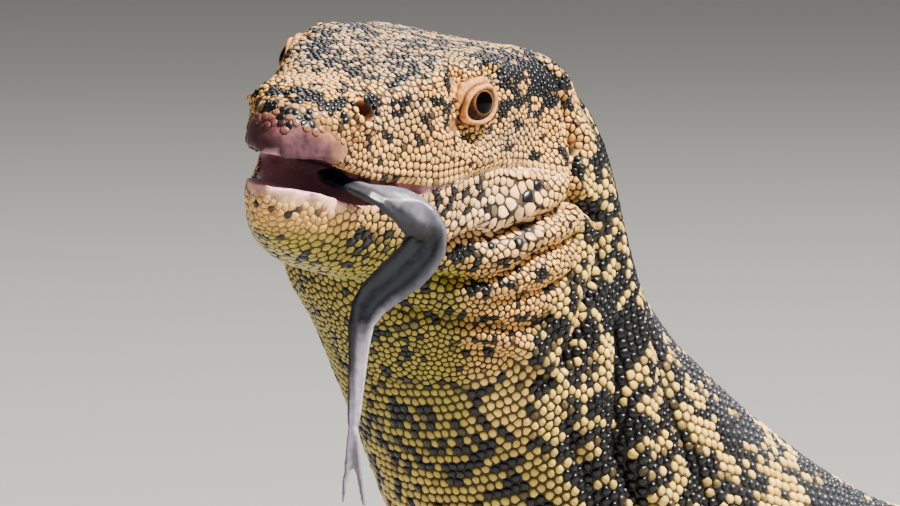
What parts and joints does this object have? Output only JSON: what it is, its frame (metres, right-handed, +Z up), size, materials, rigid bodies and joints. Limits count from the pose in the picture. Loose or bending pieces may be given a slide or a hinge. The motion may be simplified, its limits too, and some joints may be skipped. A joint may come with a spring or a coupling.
{
  "type": "asian water monitor lizard model",
  "caption": "Life-size still model of an Asian water monitor lizard standing on all fours, neck raised, head turned left, forked tongue hanging out, tail laid on the floor.",
  "frame": {"origin": "on the floor, under the middle of the model's box", "axes": "+Z up, +X from the head towards the tail along the body's midline, the animal's left side towards -Y"},
  "size_m": [1.4767, 0.3582, 0.3285],
  "materials": {
    "hide": "beaded scales, pale yellow and black, satin",
    "eye": "wet gloss, dark brown iris and black pupil",
    "claw": "dark horn, satin",
    "tongue": "moist slate-violet flesh"
  },
  "bodies": {
    "root": {"chest": "hide", "claw_front_left_1": "claw", "claw_front_left_2": "claw", "claw_front_left_3": "claw", "claw_front_left_4": "claw", "claw_front_left_5": "claw", "claw_front_right_1": "claw", "claw_front_right_2": "claw", "claw_front_right_3": "claw", "claw_front_right_4": "claw", "claw_front_right_5": "claw", "claw_hind_left_1": "claw", "claw_hind_left_2": "claw", "claw_hind_left_3": "claw", "claw_hind_left_4": "claw", "claw_hind_left_5": "claw", "claw_hind_right_1": "claw", "claw_hind_right_2": "claw", "claw_hind_right_3": "claw", "claw_hind_right_4": "claw", "claw_hind_right_5": "claw", "eye_left": "eye", "eye_right": "eye", "foot_left": "hide", "foot_right": "hide", "forearm_left": "hide", "forearm_right": "hide", "hand_left": "hide", "hand_right": "hide", "head": "hide", "loins": "hide", "lower_jaw": "hide", "neck": "hide", "shank_left": "hide", "shank_right": "hide", "tail_1": "hide", "tail_2": "hide", "tail_3": "hide", "tail_4": "hide", "thigh_left": "hide", "thigh_right": "hide", "tongue": "tongue", "upper_arm_left": "hide", "upper_arm_right": "hide"}
  },
  "joints": []
}
